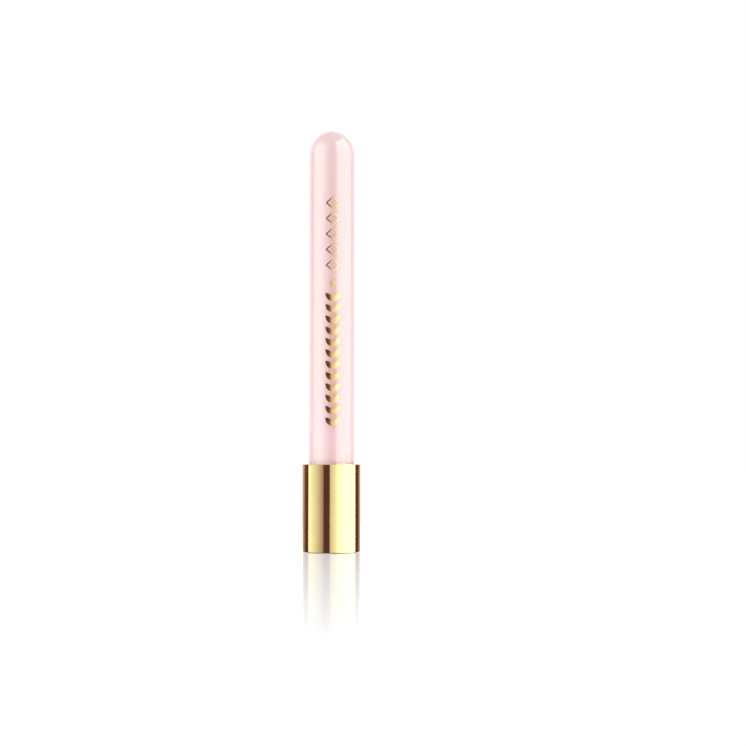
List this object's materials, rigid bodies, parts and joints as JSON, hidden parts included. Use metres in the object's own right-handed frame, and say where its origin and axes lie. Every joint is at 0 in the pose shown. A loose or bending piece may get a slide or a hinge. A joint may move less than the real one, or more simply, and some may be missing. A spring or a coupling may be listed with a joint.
{
  "type": "lip gloss tube",
  "caption": "Slim round lip gloss that stands on its metallic cap, with a domed clear tube over a doe-foot wand fixed in the cap.",
  "frame": {"origin": "centre of the cap's closed end, on the surface that it stands on", "axes": "+Z along the tube's axis, from the cap up to the dome; -Y is the front, which carries the foil"},
  "size_m": [0.016, 0.016, 0.117],
  "materials": {
    "gold_metal": "bright gold anodised",
    "white_plastic": "satin polypropylene",
    "label": "blank paper-film label",
    "clear_stem": "clear polished",
    "clear_core": "clear, bonded into the stem",
    "flock": "short pale pink flock",
    "soft_seal": "soft translucent",
    "gloss_liquid": "pearly pale pink liquid",
    "clear_tube": "clear polished",
    "soft_wiper": "soft polyethylene",
    "gold_foil": "hot-stamped gold foil"
  },
  "bodies": {
    "applicator": {"cap_shell": "gold_metal", "cap_liner": "white_plastic", "shade_label": "label", "stem": "clear_stem", "tip_core": "clear_core", "tip_flock": "flock"},
    "seal": {"seal_ring": "soft_seal"},
    "contents": {"gloss": "gloss_liquid"},
    "container": {"tube": "clear_tube", "wiper": "soft_wiper", "foil_lozenges": "gold_foil", "foil_vine": "gold_foil"}
  },
  "joints": [
    {"name": "lift_off", "type": "slide", "parent": "applicator", "child": "seal", "axis": [0, 0, 1], "range_m": [0, 0.105], "deforming": ["wiper", "gloss"]},
    {"name": "thread_rise", "type": "slide", "parent": "seal", "child": "contents", "axis": [0, 0, 1], "range_m": [0, 0.0036]},
    {"name": "unscrew", "type": "hinge", "parent": "contents", "child": "container", "pos_m": [0, 0, 0], "axis": [0, 0, 1], "range_deg": [0, 540]}
  ],
  "couplings": [
    {"joint": "thread_rise", "follows": "unscrew", "m_per_rad": 0.00038197}
  ]
}
